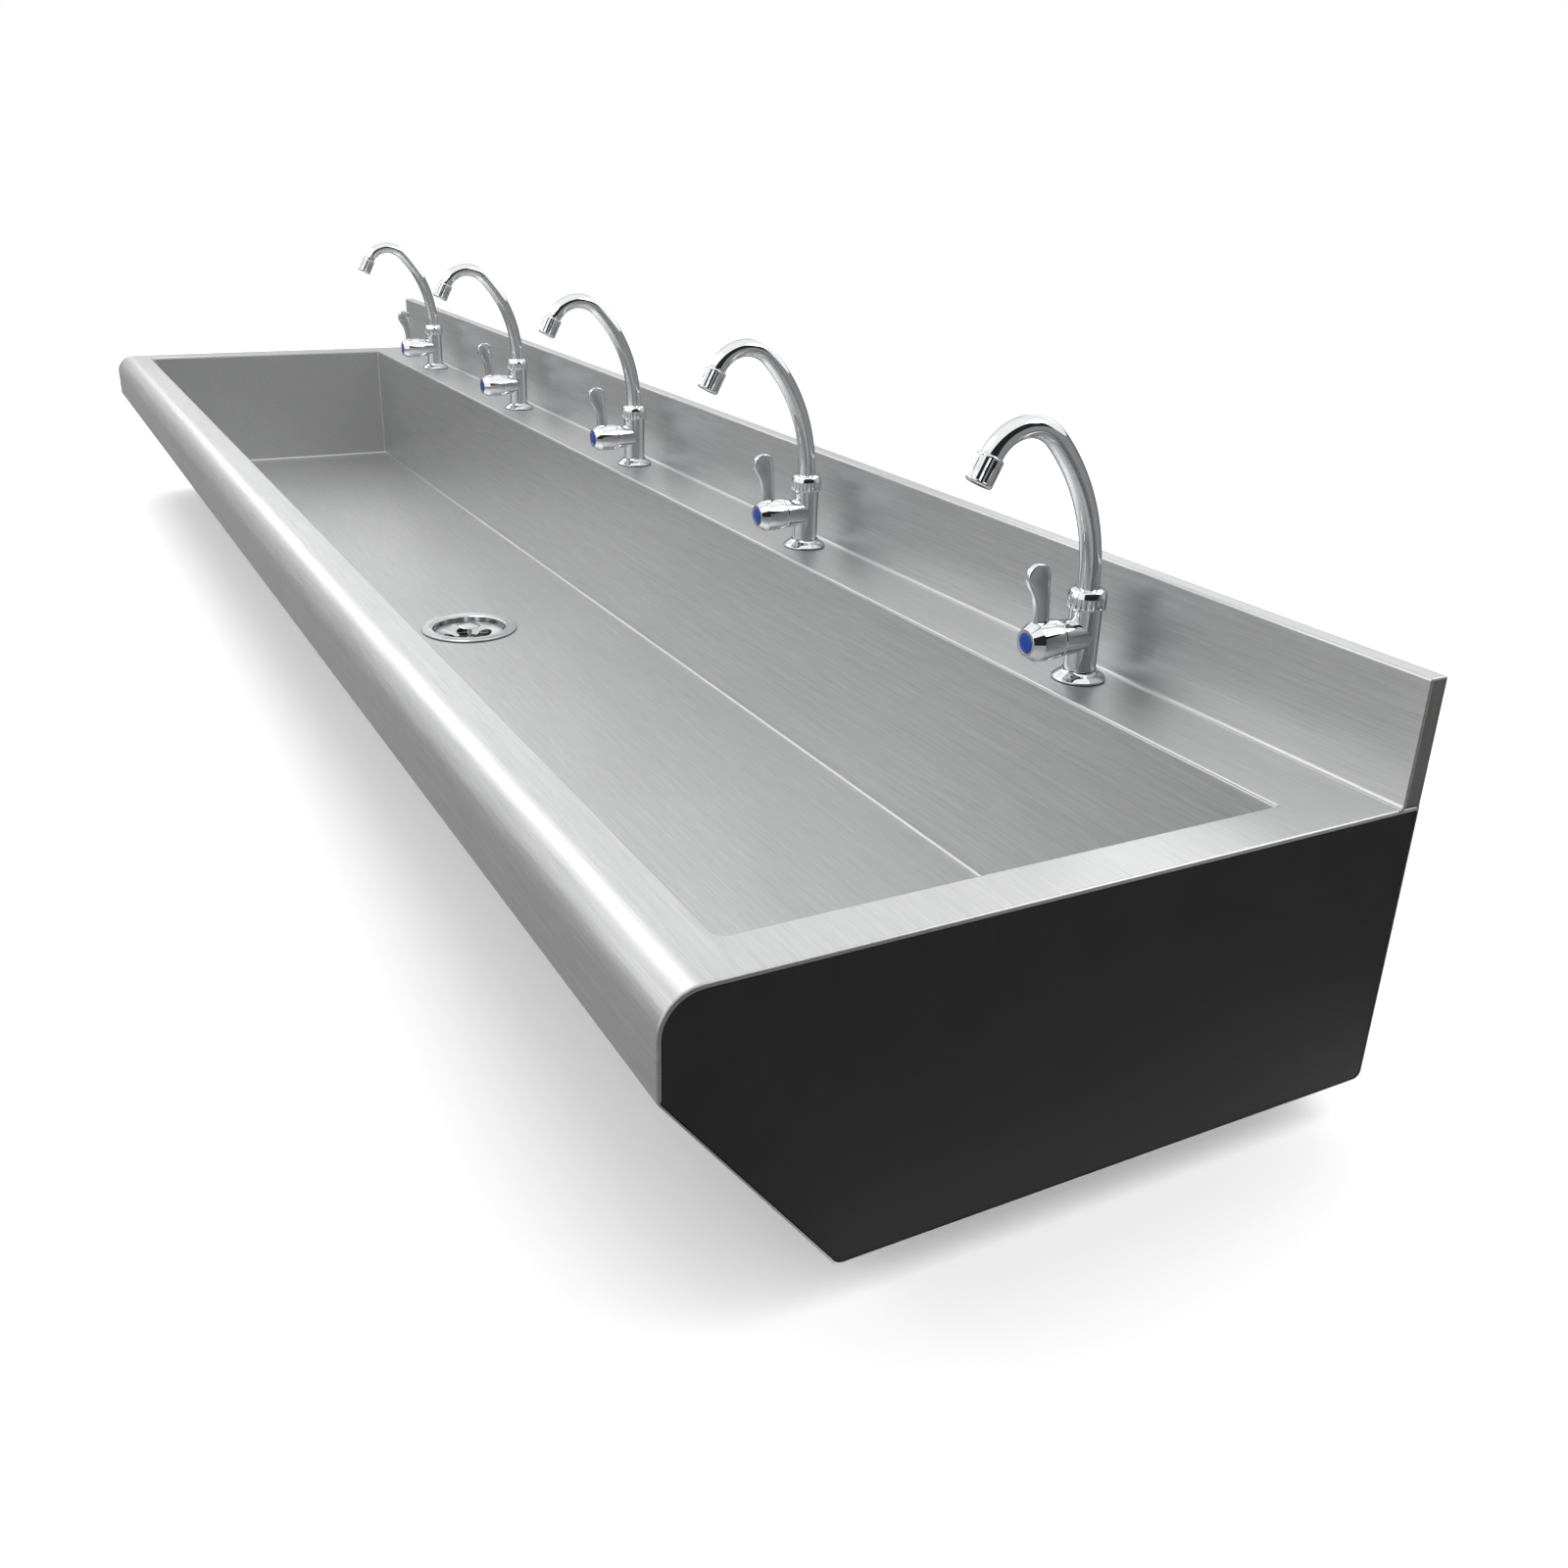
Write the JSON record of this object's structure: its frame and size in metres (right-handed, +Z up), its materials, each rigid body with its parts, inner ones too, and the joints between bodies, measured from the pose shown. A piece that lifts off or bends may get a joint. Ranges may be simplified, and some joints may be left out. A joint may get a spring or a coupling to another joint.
{
  "type": "trough sink",
  "caption": "Long wall-hung stainless wash trough with splashback, dark end panels, swan-neck pillar taps with quarter-turn levers, and a basket waste.",
  "frame": {"origin": "centre of the four outer wall-bolt holes, on the wall plane at the back of the casing", "axes": "+X along the trough, to the right of a user who faces the wall; +Y into the wall; +Z up"},
  "size_m": [2.8, 0.635, 0.5183],
  "materials": {
    "brushed_sheet": "brushed lengthways, satin",
    "splash_end_sheet": "satin, dark grey",
    "mill_sheet": "plain mill finish",
    "dark_panel": "matte charcoal",
    "waste_steel": "polished stainless",
    "tap_chrome": "bright chrome plate",
    "plain_brass": "turned brass",
    "black_rubber": "matte",
    "grey_nylon": "moulded",
    "blue_index": "gloss, deep blue"
  },
  "bodies": {
    "trough": {"deck": "brushed_sheet", "backsplash": "brushed_sheet", "splash_end_left": "splash_end_sheet", "splash_end_right": "splash_end_sheet", "back_panel": "brushed_sheet", "skirt": "brushed_sheet", "end_panel_left": "dark_panel", "end_panel_right": "dark_panel", "basin_trough": "brushed_sheet", "basin_end_left": "brushed_sheet", "basin_end_right": "brushed_sheet", "tap_rail": "mill_sheet", "wall_rails": "mill_sheet", "floor_supports": "mill_sheet", "waste_body": "waste_steel", "waste_gasket": "black_rubber", "waste_under_washer": "black_rubber", "waste_friction_ring": "grey_nylon", "waste_locknut": "grey_nylon", "tap_flanges": "tap_chrome", "tap_gaskets": "black_rubber", "tap_backnuts": "plain_brass", "tap_collars": "tap_chrome", "tap_cartridges": "plain_brass", "tap_orings": "black_rubber", "tap_body_1": "tap_chrome", "tap_body_2": "tap_chrome", "tap_body_3": "tap_chrome", "tap_body_4": "tap_chrome", "tap_body_5": "tap_chrome"},
    "strainer": {"strainer_basket": "waste_steel", "strainer_knob": "waste_steel", "strainer_seal": "black_rubber"},
    "swivel_1": {"spout_1": "tap_chrome", "aerator_1": "tap_chrome"},
    "handle_1": {"lever_1": "tap_chrome", "index_cap_1": "blue_index", "valve_spindle_1": "plain_brass"},
    "swivel_2": {"spout_2": "tap_chrome", "aerator_2": "tap_chrome"},
    "handle_2": {"lever_2": "tap_chrome", "index_cap_2": "blue_index", "valve_spindle_2": "plain_brass"},
    "swivel_3": {"spout_3": "tap_chrome", "aerator_3": "tap_chrome"},
    "handle_3": {"lever_3": "tap_chrome", "index_cap_3": "blue_index", "valve_spindle_3": "plain_brass"},
    "swivel_4": {"spout_4": "tap_chrome", "aerator_4": "tap_chrome"},
    "handle_4": {"lever_4": "tap_chrome", "index_cap_4": "blue_index", "valve_spindle_4": "plain_brass"},
    "swivel_5": {"spout_5": "tap_chrome", "aerator_5": "tap_chrome"},
    "handle_5": {"lever_5": "tap_chrome", "index_cap_5": "blue_index", "valve_spindle_5": "plain_brass"}
  },
  "joints": [
    {"name": "strainer_lift", "type": "slide", "parent": "trough", "child": "strainer", "axis": [0, 0, 1], "range_m": [0, 0.12]},
    {"name": "spout_1_swivel", "type": "hinge", "parent": "trough", "child": "swivel_1", "pos_m": [-1.056, -0.0545, 0.223], "axis": [0, 0, 1], "range_deg": [-100, 100]},
    {"name": "lever_1_turn", "type": "hinge", "parent": "trough", "child": "handle_1", "pos_m": [-1.056, -0.1045, 0.175], "axis": [0, -1, 0], "range_deg": [0, 90]},
    {"name": "spout_2_swivel", "type": "hinge", "parent": "trough", "child": "swivel_2", "pos_m": [-0.528, -0.0545, 0.223], "axis": [0, 0, 1], "range_deg": [-100, 100]},
    {"name": "lever_2_turn", "type": "hinge", "parent": "trough", "child": "handle_2", "pos_m": [-0.528, -0.1045, 0.175], "axis": [0, -1, 0], "range_deg": [0, 90]},
    {"name": "spout_3_swivel", "type": "hinge", "parent": "trough", "child": "swivel_3", "pos_m": [0, -0.0545, 0.223], "axis": [0, 0, 1], "range_deg": [-100, 100]},
    {"name": "lever_3_turn", "type": "hinge", "parent": "trough", "child": "handle_3", "pos_m": [0, -0.1045, 0.175], "axis": [0, -1, 0], "range_deg": [0, 90]},
    {"name": "spout_4_swivel", "type": "hinge", "parent": "trough", "child": "swivel_4", "pos_m": [0.528, -0.0545, 0.223], "axis": [0, 0, 1], "range_deg": [-100, 100]},
    {"name": "lever_4_turn", "type": "hinge", "parent": "trough", "child": "handle_4", "pos_m": [0.528, -0.1045, 0.175], "axis": [0, -1, 0], "range_deg": [0, 90]},
    {"name": "spout_5_swivel", "type": "hinge", "parent": "trough", "child": "swivel_5", "pos_m": [1.056, -0.0545, 0.223], "axis": [0, 0, 1], "range_deg": [-100, 100]},
    {"name": "lever_5_turn", "type": "hinge", "parent": "trough", "child": "handle_5", "pos_m": [1.056, -0.1045, 0.175], "axis": [0, -1, 0], "range_deg": [0, 90]}
  ]
}
